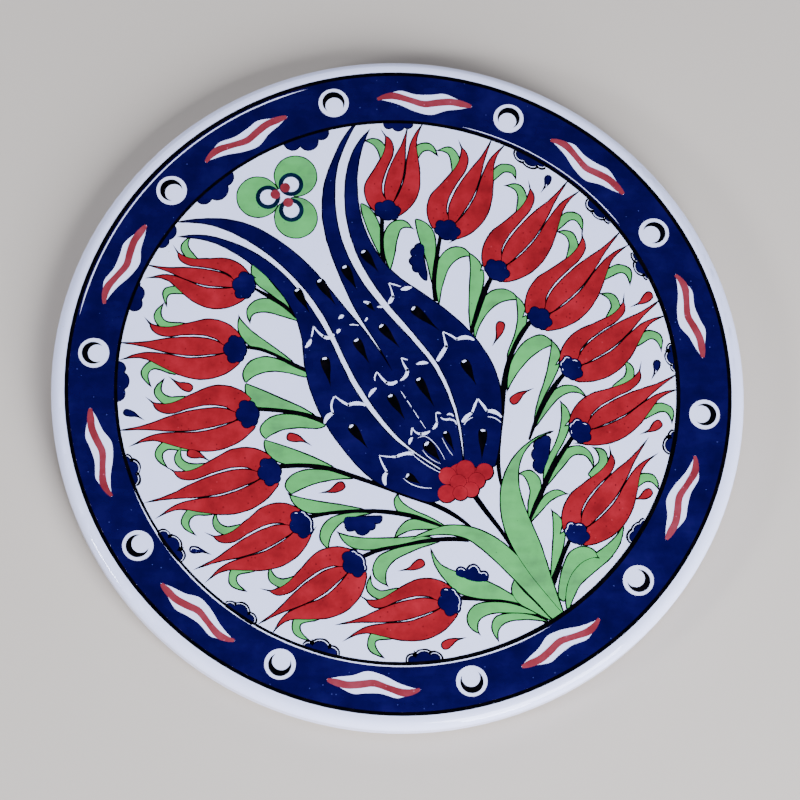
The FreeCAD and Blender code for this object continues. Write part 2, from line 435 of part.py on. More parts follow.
# free clouds in the field: cusps of the lobes, anticlockwise
FIELD_CLOUDS = [
    ([(6.4, 38.4), (4.3, 37.5), (3.9, 35.2), (3.8, 32.8), (5.3, 31.2), (7.2, 28.8), (7.0, 32.2), (6.4, 35.4)],
     (0.35, 0.4, 0.4, 0.4, 0.15, 0.05, 0.0, 0.1)),
    ([(-5.0, -34.7), (-13.6, -34.9), (-14.2, -36.8), (-11.7, -38.1), (-8.0, -38.2), (-6.9, -36.3)],
     (0.0, 0.3, 0.4, 0.4, 0.4, 0.4)),
    ([(14.1, -49.8), (16.2, -50.6), (21.0, -51.5), (22.1, -50.9), (20.3, -49.3), (16.7, -48.8)],
     (0.1, 0.1, 0.3, 0.45, 0.5, 0.5)),
    ([(38.9, -14.0), (36.5, -13.9), (34.9, -16.6), (35.0, -19.6), (35.3, -22.4), (36.6, -23.0),
      (38.3, -19.0)],
     (0.35, 0.3, 0.3, 0.3, 0.2, 0.0, 0.0)),
]

RED_DROPS = [
    ((-54.6, -0.8), (-58.0, 0.8)), ((-28.0, -13.9), (-24.6, -15.0)), ((-53.6, -18.4), (-50.3, -19.5)),
    ((-15.4, -26.8), (-18.8, -28.3)), ((4.9, -47.0), (1.4, -48.6)), ((11.3, -68.2), (14.4, -66.7)),
    ((26.4, 16.5), (25.3, 12.9)), ((29.7, -3.5), (32.8, -1.2)), ((65.4, 25.0), (62.5, 22.8)),
    ((66.9, -9.8), (64.2, -11.7)), ((63.9, -28.1), (61.2, -29.6)),
]
BLUE_DROPS = [
    ((-70.3, -7.6), (-67.3, -8.7)), ((-53.0, -43.7), (-50.0, -44.3)), ((39.6, 57.2), (38.7, 54.8)),
    ((67.1, 6.6), (66.4, 3.9)),
]

# the great tulip in three fields: outer left petal, the pair in the middle, outer right petal
GREAT_TULIP = [
    closed([(-56.5, 40.1), (-50.0, 40.3), (-45.0, 39.0), (-40.0, 37.0), (-35.0, 34.0), (-30.0, 29.8),
            (-26.0, 25.0), (-22.0, 19.2), (-18.0, 12.0), (-15.4, 6.3), (-12.5, 0.3), (-9.0, -5.4),
            (-5.0, -10.6), (-1.0, -14.8), (3.2, -17.9), (7.2, -20.6)],
           [(11.2, -23.2), (12.5, -25.5)],
           [(11.0, -29.5), (8.0, -30.8), (2.0, -29.2), (-5.0, -26.3), (-10.0, -22.3), (-15.0, -16.4),
            (-19.0, -10.4), (-21.6, -5.0), (-23.5, 0.5), (-24.6, 6.0), (-25.1, 12.0), (-26.5, 17.5),
            (-29.0, 22.5), (-33.0, 27.9), (-38.0, 32.5), (-43.0, 36.0), (-49.0, 38.9)]),
    closed([(-56.8, 44.2), (-50.0, 45.0), (-44.0, 44.7), (-38.0, 43.0), (-32.0, 39.6), (-27.0, 35.7),
            (-22.0, 30.8), (-17.6, 25.3), (-13.4, 20.0), (-9.2, 14.9), (-5.6, 9.8)],
           [(-1.7, 3.7), (-4.8, 9.8), (-8.0, 15.1), (-11.1, 20.3), (-13.8, 26.0), (-16.4, 32.5),
            (-18.7, 39.5), (-19.9, 47.0), (-19.3, 55.0), (-17.0, 62.0), (-14.3, 67.8)],
           [(-11.3, 71.8), (-14.3, 65.5), (-16.1, 60.0), (-16.8, 53.0), (-16.4, 46.0), (-15.0, 39.5),
            (-12.5, 33.2), (-9.3, 27.5), (-5.5, 22.4), (-1.0, 17.0), (3.5, 12.0), (8.0, 6.3),
            (11.5, -0.2), (13.9, -7.0), (15.2, -13.0)],
           [(16.1, -20.4)],
           [(12.6, -23.2), (8.0, -20.1), (4.0, -17.4), (0.0, -13.9), (-4.0, -9.3), (-7.8, -3.9),
            (-11.3, 1.9), (-14.3, 8.0), (-17.2, 14.4), (-20.5, 20.5), (-25.0, 26.7), (-30.0, 32.1),
            (-35.0, 36.3), (-40.0, 39.6), (-45.0, 42.1), (-50.0, 43.7)]),
    closed([(-8.0, 69.5), (-11.0, 65.6), (-13.1, 60.0), (-13.9, 54.0), (-13.7, 47.0), (-12.4, 40.5),
            (-10.1, 34.2), (-6.8, 28.2), (-2.8, 22.4), (1.6, 17.0), (6.0, 11.6), (10.2, 5.8),
            (13.1, -0.5), (15.1, -7.0), (16.2, -13.0)],
           [(16.6, -21.6)],
           [(24.4, -21.2), (25.7, -15.0), (26.3, -8.0), (26.1, -1.0), (24.7, 4.6), (21.8, 10.2),
            (17.6, 15.6), (12.0, 20.8), (6.0, 25.2), (0.3, 29.2), (-4.2, 33.8), (-7.4, 39.0),
            (-9.7, 45.0), (-10.8, 52.0), (-10.8, 58.5), (-9.9, 64.0)]),
]

ROSETTE = [
    (16.2, -25.0, 4.6), (12.2, -23.9, 2.3), (16.8, -22.1, 2.4), (21.7, -22.7, 2.2), (19.7, -25.1, 2.1),
    (14.9, -25.6, 2.1), (11.9, -28.6, 2.3), (18.2, -27.5, 2.0), (15.4, -28.4, 1.9),
]
TREFOIL = [((-27.0, 57.1), (-28.2, 54.8)), ((-36.8, 51.2), (-34.2, 51.2)), ((-26.9, 45.6), (-28.1, 47.7))]
TREFOIL_DOTS = [(-29.7, 53.9), (-32.3, 52.0), (-28.9, 49.8)]

# border: moon bearings, and the two ends of each wavy panel
MOON_BEARINGS = (102.3, 68.3, 32.2, -5.1, -40.1, -77.1, -112.8, -147.5, 174.0, 138.4)
PANELS = [
    ((-50.8, 60.6), (-29.1, 73.7)), ((-5.6, 78.9), (19.8, 77.0)), ((40.3, 68.1), (59.6, 52.9)),
    ((72.6, 31.1), (79.2, 8.1)), ((76.4, -18.0), (68.1, -40.6)), ((50.7, -61.1), (30.3, -73.8)),
    ((4.8, -79.7), (-19.1, -77.1)), ((-42.2, -67.4), (-61.1, -52.4)), ((-73.8, -30.0), (-79.7, -6.3)),
    ((-76.7, 21.4), (-65.8, 43.3)),
]
PANEL_OUT = [(0.14, 2.0), (0.24, 2.9), (0.41, 2.2), (0.57, 2.5), (0.70, 3.0), (0.86, 1.6)]
PANEL_IN = [(0.87, -1.0), (0.73, -1.7), (0.58, -3.2), (0.41, -2.6), (0.22, -0.9)]
PANEL_WAVE = [(0.01, 0.0), (0.17, 1.3), (0.33, 0.6), (0.50, -0.3), (0.64, 0.4), (0.78, 0.9),
              (0.90, 0.5), (0.99, 0.1)]
WAVE_W = (0.8, 1.9, 1.6, 1.8, 1.9, 1.9, 1.8, 0.8)


def along(ends, pts):
    """Points given as a share of the way from the first end to the second, and mm outwards."""
    (ax, ay), (bx, by) = ends
    d = math.dist(*ends)
    nx, ny = -(by - ay) / d, (bx - ax) / d
    return [(ax + (bx - ax) * f + nx * s, ay + (by - ay) * f + ny * s) for f, s in pts]


def panel(ends):
    out_edge, in_edge = along(ends, PANEL_OUT), along(ends, PANEL_IN)
    return closed([ends[0]] + out_edge, [ends[1]] + in_edge)


def crescent(bearing):
    """A dark moon with its horns towards the middle of the plate: its outer arc, then its inner arc."""
    out_r, in_r, d = CRESCENT_OUT, CRESCENT_IN, CRESCENT_OFF
    reach = math.degrees(math.acos((out_r**2 + d**2 - in_r**2) / (2 * out_r * d)))
    reach_in = math.degrees(math.acos((in_r**2 + d**2 - out_r**2) / (2 * in_r * d)))
    c, shift, back = polar(MOON_AT + 0.15, bearing), polar(d, bearing + 180.0), bearing + 180.0
    far = [polar(out_r, back + reach + (360 - 2 * reach) * i / 8.0) for i in range(8)]
    near = [polar(in_r, back + 180.0 + reach_in - 2 * reach_in * i / 6.0) for i in range(6)]
    return ([(c[0] + x, c[1] + y) for x, y in far],
            [(c[0] + shift[0] + x, c[1] + shift[1] + y) for x, y in near])


# ---- solids ----
def face_of(loop):
    edges = []
    for run in loop:
        for seg in run:
            curve = Part.BezierCurve()
            curve.setPoles([vec(p) for p in seg])
            edges.append(curve.toShape())
    return Part.Face(Part.Wire(edges))


def polygon(pts):
    return Part.Face(Part.makePolygon([vec(p) for p in pts + pts[:1]]))


def disc(c, r):
    return Part.Face(Part.Wire(Part.makeCircle(r, vec(c))))


def ring(inner, outer, inner_at=(0.0, 0.0), outer_at=(0.0, 0.0)):
    return disc(outer_at, outer).cut(disc(inner_at, inner))


def hairline(r, start, end, width):
    bearings = [start + (end - start) * i / 12.0 for i in range(13)]
    return stroke([polar(r, b) for b in bearings], [0.0] + [width] * 11 + [0.0])


paintings = []  # (node or None for bare glaze, face, what it hides), back to front


def paint(node, loop, ink=INK, reach=0.8):
    face = face_of(loop)
    paintings.append((node, face, polygon(margin(loop, ink, reach)) if ink else face))


def paint_disc(node, c, r, ink=INK):
    paintings.append((node, disc(c, r), disc(c, r + ink)))


def run_on(a, b, more):
    """The point that lies further than b by more, on the line from a."""
    f = more / math.dist(a, b)
    return (b[0] + (b[0] - a[0]) * f, b[1] + (b[1] - a[1]) * f)


def paint_all():
    for lobes in RING_CLOUDS:
        first, *others = [disc((x, y), r) for x, y, r in lobes]
        cloud = first.multiFuse(others).removeSplitter()
        paintings.append(("ring_clouds", cloud, cloud))
    for hook in HOOKS:
        spine = hook + [run_on(hook[-2], hook[-1], HOOK_ROOT)]
        paint("petal_hooks", stroke(spine, [0.0] + [1.6, 2.0][: len(hook) - 2] + [1.9, 1.9]))
    for out_edge, back_edge in LEAVES:
        paint("stem_leaves", leaf(out_edge, back_edge), 0.15)
    for spine, widths in STEMS:
        spine = [run_on(spine[1], spine[0], STEM_ROOT)] + spine
        paint("stems", stroke(spine, [w * STEM_SPREAD for w in widths[:1] + widths]), 0.0)
    for out_edge, back_edge in ROOT_LEAVES:
        paint("root_leaves", leaf(out_edge, back_edge), 0.15)
    for node, flowers, size in (("left_tulip_petals", TULIPS_LEFT, 0.97),
                                ("right_tulip_petals", TULIPS_RIGHT, 0.9)):
        for flower in flowers:
            for petal in tulip(*flower):
                paint(node, petal, reach=1.8)
            paint("tulip_cups", cup_of(flower[0], flower[1], size), 0.18)
    for field in GREAT_TULIP:
        paint("great_tulip", field, 0.15)
    for x, y, r in ROSETTE:
        paint_disc("rosette", (x, y), r, 0.07)
    for big, _ in TREFOIL:
        paint_disc("trefoil_discs", big, TREFOIL_LOBE, 0.12)
    for _, small in TREFOIL:
        paint_disc("trefoil_rings", small, TREFOIL_RING, 0.0)
    for _, small in TREFOIL:
        paintings.append((None, None, disc(small, TREFOIL_EYE)))
    for dot in TREFOIL_DOTS:
        paint_disc("trefoil_dots", dot, TREFOIL_DOT, 0.0)
    for cusps, bulge in FIELD_CLOUDS:
        paint("field_clouds", scallop(cusps, bulge), 0.1)
    for head, tail in RED_DROPS:
        paint("red_drops", drop(head, tail, 1.0), 0.15)
    for head, tail in BLUE_DROPS:
        paint("blue_drops", drop(head, tail, 0.75), 0.15)
    line = ring(*LINE_IN, LINE_THICK, LINE_OFF)
    band = ring(LINE_IN[1], LINE_OUT[0], LINE_OFF)
    paintings.append(("inner_black_line", line, line))
    paintings.append(("border_band", band, band))
    paintings.append(("outer_black_line", ring(*LINE_OUT), ring(*LINE_OUT)))
    for hair in HAIRS:
        paintings.append((None, None, face_of(hairline(*hair))))
    for bearing in MOON_BEARINGS:
        paintings.append((None, None, disc(polar(MOON_AT, bearing), MOON_R)))
        paint("border_crescents", closed(*crescent(bearing)), 0.0)
    for ends in PANELS:
        paintings.append((None, None, face_of(panel(ends))))
        paint("border_waves", stroke(along(ends, PANEL_WAVE), WAVE_W), 0.0)


def near(a, b):
    p, q = a.BoundBox, b.BoundBox
    return p.XMin < q.XMax and q.XMin < p.XMax and p.YMin < q.YMax and q.YMin < p.YMax


def layers():
    """Each colour's visible faces, trimmed by whatever is painted later, then merged and thickened."""
    nodes = {}
    for i, (node, face, _) in enumerate(paintings):
        if node is None:
            continue
        tools = [hides for _, _, hides in paintings[i + 1:] if near(face, hides)]
        left = face.cut(tools) if tools else face
        nodes.setdefault(node, []).extend(f for f in left.Faces if f.Area > SMALLEST)
    for node, faces in nodes.items():
        solids = [f.extrude(FreeCAD.Vector(0, 0, PAINT)) for f in faces]
        shape = Part.makeCompound(solids)
        shape.translate(FreeCAD.Vector(0, 0, FACE))
        yield node, shape


def turned(edges):
    """A closed outline in the XZ plane turned once round Z."""
    return Part.Face(Part.Wire(edges)).revolve(vec((0, 0)), FreeCAD.Vector(0, 0, 1), 360)


def profile(points):
    """Edges in the XZ plane; a point with three numbers is the end of an arc that passes its partner."""
    edges, here = [], points[0]
    for item in points[1:]:
        if isinstance(item, tuple) and len(item) == 2 and isinstance(item[0], tuple):
            mid, end = item
            edges.append(Part.Arc(*(FreeCAD.Vector(r, 0, z) for r, z in (here, mid, end))).toShape())
            here = end
        else:
            start, end = (FreeCAD.Vector(r, 0, z) for r, z in (here, item))
            edges.append(Part.makeLine(start, end))
            here = item
    return edges


def on_arc(c, r, degrees):
    a = math.radians(degrees)
    return (c[0] + r * math.cos(a), c[1] + r * math.sin(a))


def disc_parts():
    edge = (RADIUS - EDGE_R, FACE - EDGE_R)
    heel = (RADIUS - HEEL_R, PAD_OUT + HEEL_R - GLAZE)
    skin_edge, skin_heel = EDGE_R - GLAZE, HEEL_R - GLAZE
    foot = PAD_OUT
    body = profile([
        (0.0, foot + RECESS), (RECESS_R - 1.0, foot + RECESS),
        (on_arc((RECESS_R - 1.0, foot), RECESS, 45.0), (RECESS_R, foot)),
        (heel[0], foot),
        (on_arc(heel, skin_heel, -45.0), (heel[0] + skin_heel, heel[1])),
        (RADIUS - GLAZE, edge[1]),
        (on_arc(edge, skin_edge, 45.0), (edge[0], FACE - GLAZE)),
        (0.0, FACE - GLAZE), (0.0, foot + RECESS),
    ])
    low = -GLAZE_LINE
    glaze = profile([
        (0.0, FACE - GLAZE), (edge[0], FACE - GLAZE),
        (on_arc(edge, skin_edge, 45.0), (RADIUS - GLAZE, edge[1])),
        (RADIUS - GLAZE, heel[1]),
        (on_arc(heel, skin_heel, low / 2), on_arc(heel, skin_heel, low)),
        on_arc(heel, HEEL_R, low),
        (on_arc(heel, HEEL_R, low / 2), (RADIUS, heel[1])),
        (RADIUS, edge[1]),
        (on_arc(edge, EDGE_R, 45.0), (edge[0], FACE)),
        (0.0, FACE), (0.0, FACE - GLAZE),
    ])
    return turned(body), turned(glaze)


def pads():
    out = []
    for i in range(PADS):
        x, y = polar(PAD_AT, 45.0 + 360.0 * i / PADS)
        pad = Part.makeCylinder(PAD_R, PAD_T, vec((x, y)))
        out.append(pad.makeFillet(0.5, [e for e in pad.Edges if e.BoundBox.ZMax < 0.01 and e.Closed]))
    return Part.makeCompound(out)


def save(node, shape):
    shape.exportStep("parts/%s.step" % node)


os.makedirs("parts", exist_ok=True)
clay, glaze = disc_parts()
save("clay_disc", clay)
save("white_glaze", glaze)
save("felt_pads", pads())
paint_all()
for name, shape in layers():
    save(name, shape)
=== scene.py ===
"""Looks of the hand painted ceramic plate: drawn ink, reserved whites, glossy glazes, bare clay and felt."""

import json
import math

import bpy
from mathutils import Matrix, Vector


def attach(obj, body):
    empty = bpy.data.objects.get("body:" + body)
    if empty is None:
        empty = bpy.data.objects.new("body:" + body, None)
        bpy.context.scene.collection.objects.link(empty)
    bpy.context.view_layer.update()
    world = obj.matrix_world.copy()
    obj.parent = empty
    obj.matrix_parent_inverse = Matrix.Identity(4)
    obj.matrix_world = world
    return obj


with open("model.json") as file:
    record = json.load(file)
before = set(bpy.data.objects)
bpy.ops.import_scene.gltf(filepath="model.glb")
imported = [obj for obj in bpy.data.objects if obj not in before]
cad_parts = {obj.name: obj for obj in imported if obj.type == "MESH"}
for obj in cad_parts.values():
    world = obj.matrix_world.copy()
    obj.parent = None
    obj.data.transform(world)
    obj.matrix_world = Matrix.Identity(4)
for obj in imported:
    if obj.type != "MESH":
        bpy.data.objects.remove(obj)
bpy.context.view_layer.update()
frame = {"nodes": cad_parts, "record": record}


nodes = frame["nodes"]
MM = 0.001
MICRONS = 1e6            # in a metre
FACE = 9.5               # height of the glazed face, mm; so are the next heights and widths
UNDER = FACE + 0.03      # top of the drawn ink, below the top of the colours
OVER = FACE + 0.058      # top of the marks laid over the colours
INK_FOOT = FACE - 0.01   # the drawn ink goes down to here, just inside the glaze
MARK_DEEP = 0.02         # depth of a mark laid over the colours
TUCK = 0.04              # how far a contour runs in under its colour
SECOND = (0.44, 0.92)    # near and far edge of the second line drawn round a cloud
STEP = 0.03              # points of an outline closer than this count as one
BRUSH_STEP = 0.004       # and so do points of a brush stroke closer than this
FINE = 0.05              # radius up to which the end of a stroke stays square; width of a thread's ends
THREAD_STEP = (0.25, 2.0)   # least and greatest distance between the points of a thread
FACING = 0.25            # an edge is drawn in by a thread when its cosine to the asked side is over this
HAND = 0.12              # unevenness of a brushed width
PEN = 0.22               # unevenness of a drawn contour
SPUR_TURN = 120.0        # degrees: a contour that turns by more runs on past the tip
CORNER_TURN = 50.0       # degrees: a contour that turns by more gets a blunt corner


# ---- small geometry helpers, all in mm in the plane of the face ----
def smooth(pts, per=5):
    """Samples of one soft curve through the points."""
    n = len(pts)
    if n == 2:
        return [tuple(pts[0]), tuple(pts[1])]
    step = [max(math.dist(pts[i], pts[i + 1]), 1e-6) ** 0.5 for i in range(n - 1)]
    vel = [None] * n
    for i in range(1, n - 1):
        a, b = step[i - 1], step[i]
        vel[i] = [(pts[i][k] - pts[i - 1][k]) / a - (pts[i + 1][k] - pts[i - 1][k]) / (a + b)
                  + (pts[i + 1][k] - pts[i][k]) / b for k in (0, 1)]
    vel[0] = [2 * (pts[1][k] - pts[0][k]) / step[0] - vel[1][k] for k in (0, 1)]
    vel[-1] = [2 * (pts[-1][k] - pts[-2][k]) / step[-1] - vel[-2][k] for k in (0, 1)]
    out = []
    for i in range(n - 1):
        h = step[i]
        for j in range(per):
            t = j / per
            h00, h10 = 2 * t**3 - 3 * t**2 + 1, t**3 - 2 * t**2 + t
            h01, h11 = -2 * t**3 + 3 * t**2, t**3 - t**2
            out.append(tuple(h00 * pts[i][k] + h10 * h * vel[i][k]
                             + h01 * pts[i + 1][k] + h11 * h * vel[i + 1][k] for k in (0, 1)))
    out.append(tuple(pts[-1]))
    return out


def waver(x, y, seed=0.0):
    """A slow unevenness of the hand, -1 to 1."""
    return (math.sin(0.71 * x + 1.3 * y + seed) + math.sin(1.9 * x - 0.83 * y + 2.1 * seed)
            + 0.6 * math.sin(3.7 * x + 2.9 * y)) / 2.6


class Sheet:
    """Faces gathered at chosen heights, then made into one piece."""

    def __init__(self):
        self.verts, self.faces = [], []

    def fill(self, pts, z):
        """A closed outline filled at height z, with a low skirt."""
        n = len(pts)
        twice_area = sum(pts[i - 1][0] * pts[i][1] - pts[i][0] * pts[i - 1][1] for i in range(n))
        if twice_area < 0:
            pts = pts[::-1]
        base = len(self.verts)
        self.verts += [(x * MM, y * MM, z * MM) for x, y in pts]
        self.verts += [(x * MM, y * MM, (z - MARK_DEEP) * MM) for x, y in pts]
        self.faces.append(tuple(base + i for i in range(n)))
        for i in range(n):
            j = (i + 1) % n
            self.faces.append((base + j, base + i, base + n + i, base + n + j))

    def stroke(self, spine, widths, z, per=5):
        """A brush stroke whose width runs through the given widths; zero width ends are pointed."""
        line = smooth(spine, per)
        wide = [w for (w, _) in smooth([(w, 10.0 * i) for i, w in enumerate(widths)], per)]
        left, right = [], []
        for i, p in enumerate(line):
            a, b = line[max(i - 1, 0)], line[min(i + 1, len(line) - 1)]
            d = math.dist(a, b) or 1.0
            w = max(wide[i], 0.0) / 2 * (1 + HAND * waver(*p))
            nx, ny = -(b[1] - a[1]) / d * w, (b[0] - a[0]) / d * w
            left.append((p[0] + nx, p[1] + ny))
            right.append((p[0] - nx, p[1] - ny))
        pts = (left + self.cap(line[-1], left[-1], right[-1])
               + right[::-1] + self.cap(line[0], right[0], left[0]))
        kept = [pts[0]]
        for p in pts[1:]:
            if math.dist(p, kept[-1]) > BRUSH_STEP:
                kept.append(p)
        if math.dist(kept[0], kept[-1]) <= BRUSH_STEP:
            kept.pop()
        if len(kept) > 2:
            self.fill(kept, z)

    @staticmethod
    def cap(c, start, end):
        """Points of a round end from one side of a stroke to the other; a fine end needs none."""
        a = math.atan2(start[1] - c[1], start[0] - c[0])
        r = math.dist(start, end) / 2
        if r <= FINE:
            return []
        return [(c[0] + r * math.cos(a - math.pi * k / 5), c[1] + r * math.sin(a - math.pi * k / 5))
                for k in range(1, 5)]

    def drop(self, head, tail, r, z):
        """A round head drawn out to a fine tail."""
        d = math.dist(head, tail)
        ux, uy = (tail[0] - head[0]) / d, (tail[1] - head[1]) / d
        pts = [(tail[0], tail[1])]
        taper = [(0.62, 0.36), (0.28, 0.86), (0.0, 1.0)]
        for s, n in taper:
            pts.append((head[0] + ux * s * d - uy * n * r, head[1] + uy * s * d + ux * n * r))
        for k in range(1, 6):
            a = math.pi / 2 + math.pi * k / 6
            pts.append((head[0] + ux * math.cos(a) * r - uy * math.sin(a) * r,
                        head[1] + uy * math.cos(a) * r + ux * math.sin(a) * r))
        for s, n in reversed(taper):
            pts.append((head[0] + ux * s * d + uy * n * r, head[1] + uy * s * d - ux * n * r))
        pts.append(pts[0])
        self.fill(smooth(pts, 3)[:-1], z)

    def dot(self, c, rx, ry, turn, z):
        """A slightly uneven oval, turned by so many degrees."""
        a = math.radians(turn)
        pts, count = [], 14
        for i in range(count):
            t = 2 * math.pi * i / count
            x, y = rx * math.cos(t) * (1 + 0.08 * math.sin(2 * t + c[0])), ry * math.sin(t)
            pts.append((c[0] + x * math.cos(a) - y * math.sin(a), c[1] + x * math.sin(a) + y * math.cos(a)))
        self.fill(pts, z)

    def piece(self, name, slot):
        """The gathered faces as one object that rides the plate."""
        mesh = bpy.data.meshes.new(name)
        mesh.from_pydata(self.verts, [], self.faces)
        mesh.update()
        mesh.materials.append(M[slot])
        obj = bpy.data.objects.new(name, mesh)
        bpy.context.scene.collection.objects.link(obj)
        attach(obj, "root")


def outlines(node):
    """The edge loops of a colour's upper faces, anticlockwise, in mm."""
    mesh = nodes[node].data
    top = max(v.co.z for v in mesh.vertices)
    key, where, ids, edges, leads = {}, [], [], {}, {}
    for v in mesh.vertices:
        k = tuple(round(c * MICRONS) for c in v.co)
        if k not in key:
            key[k] = len(where)
            where.append((v.co.x / MM, v.co.y / MM))
        ids.append(key[k])
    for poly in mesh.polygons:
        height = mesh.vertices[poly.vertices[0]].co.z
        if poly.normal.z < 0.9 or abs(height - top) > 2e-6:
            continue
        ring = [ids[i] for i in poly.vertices]
        for a, b in zip(ring, ring[1:] + ring[:1]):
            if a != b:
                edges[(a, b)] = True
    # an edge with a face on one side only belongs to a loop
    for a, b in edges:
        if (b, a) not in edges:
            leads.setdefault(a, []).append(b)
    loops = []
    while leads:
        start = next(iter(leads))
        loop, here = [], start
        while here in leads:
            loop.append(here)
            step = leads[here].pop()
            if not leads[here]:
                del leads[here]
            here = step
            if here == start:
                break
        if len(loop) > 2:
            loops.append([where[i] for i in loop])
    return loops


def border(sheet, loop, near, far, reach, seed):
    """A closed band drawn round a loop, near to far mm outside it; past sharp tips it runs on by reach."""
    pts = [loop[0]]
    for p in loop[1:]:
        if math.dist(p, pts[-1]) > STEP:
            pts.append(p)
    if math.dist(pts[0], pts[-1]) < STEP:
        pts.pop()
    n = len(pts)
    if n < 4:
        return
    norms = []
    for i in range(n):
        a, b = pts[i], pts[(i + 1) % n]
        d = math.dist(a, b)
        norms.append(((b[1] - a[1]) / d, -(b[0] - a[0]) / d))
    inner, stations = [], []
    for i, (x, y) in enumerate(pts):
        (mx, my), (px, py) = norms[i - 1], norms[i]
        bx, by = mx + px, my + py
        size = math.hypot(bx, by) or 1.0
        bx, by = bx / size, by / size
        w = far * (1 + PEN * waver(x, y, seed))
        turn = math.degrees(math.atan2(mx * py - my * px, mx * px + my * py))
        inner.append((x + bx * near, y + by * near))
        if turn > SPUR_TURN and reach > far:
            hx, hy, v = bx * reach / 2, by * reach / 2, w / 2
            outer = [(mx * w, my * w), (hx + by * v, hy - bx * v), (bx * reach, by * reach),
                     (hx - by * v, hy + bx * v), (px * w, py * w)]
        elif turn > CORNER_TURN:
            outer = [(mx * w, my * w), (px * w, py * w)]
        else:
            mitre = w / max(size / 2, 0.5)
            outer = [(bx * mitre, by * mitre)]
        stations += [(i, (x + dx, y + dy)) for dx, dy in outer]
    base = len(sheet.verts)
    m = len(stations)
    for height in (UNDER, INK_FOOT):
        sheet.verts += [(x * MM, y * MM, height * MM) for x, y in inner]
        sheet.verts += [(x * MM, y * MM, height * MM) for _, (x, y) in stations]
    low = n + m
    for k in range(m):
        i, j = stations[k][0], stations[(k + 1) % m][0]
        o, q = n + k, n + (k + 1) % m
        top = (i, o, q) if i == j else (i, o, q, j)
        sheet.faces.append(tuple(base + v for v in top))
        sheet.faces.append(tuple(base + low + v for v in reversed(top)))
        sheet.faces.append(tuple(base + v for v in (o, o + low, q + low, q)))
        if i != j:
            sheet.faces.append(tuple(base + v for v in (j, j + low, i + low, i)))


def middle(loop):
    """The mean of a loop's points."""
    return tuple(sum(p[k] for p in loop) / len(loop) for k in (0, 1))


def threads(sheet, node, pick, inset, width, toward):
    """Thin arcs just inside the lobes of a colour; pick says which shapes, toward which side of them."""
    for loop in outlines(node):
        if not pick(*middle(loop)):
            continue
        n = len(loop)
        run = []
        least, most = THREAD_STEP
        for i in range(n + 1):
            p, q = loop[i % n], loop[(i + 1) % n]
            d = math.dist(p, q)
            if d < 1e-4:
                continue
            nx, ny = (q[1] - p[1]) / d, -(q[0] - p[0]) / d
            if nx * toward[0] + ny * toward[1] > FACING:
                c = ((p[0] + q[0]) / 2 - nx * inset, (p[1] + q[1]) / 2 - ny * inset)
                if not run or least < math.dist(c, run[-1]) < most:
                    run.append(c)
                    continue
                if math.dist(c, run[-1]) <= least:
                    continue
            if len(run) > 2:
                sheet.stroke(run, [FINE] + [width] * (len(run) - 2) + [FINE], OVER, 3)
            run = []


# ---- materials ----
def tree_of(name):
    """A new material, its node tree and its shader."""
    mat = bpy.data.materials.new(name)
    mat.use_nodes = True
    nt = mat.node_tree
    return mat, nt, nt.nodes["Principled BSDF"]


def link(nt, a, b):
    nt.links.new(a, b)


def noise(nt, coord, scale, detail, rough, stretch=None):
    """Soft noise from 0 to 1; stretch draws it out like the strokes of a brush."""
    node = nt.nodes.new("ShaderNodeTexNoise")
    node.inputs["Scale"].default_value = scale
    node.inputs["Detail"].default_value = detail
    node.inputs["Roughness"].default_value = rough
    if stretch:
        brush = nt.nodes.new("ShaderNodeMapping")
        brush.inputs["Scale"].default_value = stretch
        brush.inputs["Rotation"].default_value = (0, 0, 0.6)
        link(nt, coord, brush.inputs["Vector"])
        coord = brush.outputs["Vector"]
    link(nt, coord, node.inputs["Vector"])
    return node.outputs["Fac"]


def ramp(nt, fac, stops):
    """Colours at places along a value."""
    node = nt.nodes.new("ShaderNodeValToRGB")
    els = node.color_ramp.elements
    while len(els) > 1:
        els.remove(els[-1])
    els[0].position, els[0].color = stops[0][0], (*stops[0][1], 1)
    for pos, col in stops[1:]:
        e = els.new(pos)
        e.color = (*col, 1)
    link(nt, fac, node.inputs["Fac"])
    return node.outputs["Color"]


def mix(nt, a, b, fac):
    """Colour a with colour b over it by fac; each is a number, a colour or a socket."""
    node = nt.nodes.new("ShaderNodeMix")
    node.data_type = "RGBA"
    for value, socket in ((fac, node.inputs[0]), (a, node.inputs[6]), (b, node.inputs[7])):
        if isinstance(value, (int, float)):
            socket.default_value = value
        elif isinstance(value, tuple):
            socket.default_value = (*value, 1)
        else:
            link(nt, value, socket)
    return node.outputs[2]


def bump(nt, height, strength, distance, normal=None):
    """Relief in the surface; normal is a relief that it is added to."""
    node = nt.nodes.new("ShaderNodeBump")
    node.inputs["Strength"].default_value = strength
    node.inputs["Distance"].default_value = distance
    link(nt, height, node.inputs["Height"])
    if normal is not None:
        link(nt, normal, node.inputs["Normal"])
    return node.outputs["Normal"]


def speck(nt, coord, scale, size, keep):
    """Small round spots: 1 inside a spot; keep is the share of cells that hold one."""
    cells = nt.nodes.new("ShaderNodeTexVoronoi")
    cells.inputs["Scale"].default_value = scale
    link(nt, coord, cells.inputs["Vector"])
    near = nt.nodes.new("ShaderNodeMath")
    near.operation = "LESS_THAN"
    link(nt, cells.outputs["Distance"], near.inputs[0])
    near.inputs[1].default_value = size
    sep = nt.nodes.new("ShaderNodeSeparateColor")
    link(nt, cells.outputs["Color"], sep.inputs[0])
    pick = nt.nodes.new("ShaderNodeMath")
    pick.operation = "LESS_THAN"
    link(nt, sep.outputs[0], pick.inputs[0])
    pick.inputs[1].default_value = keep
    both = nt.nodes.new("ShaderNodeMath")
    both.operation = "MULTIPLY"
    link(nt, near.outputs[0], both.inputs[0])
    link(nt, pick.outputs[0], both.inputs[1])
    return both.outputs[0]


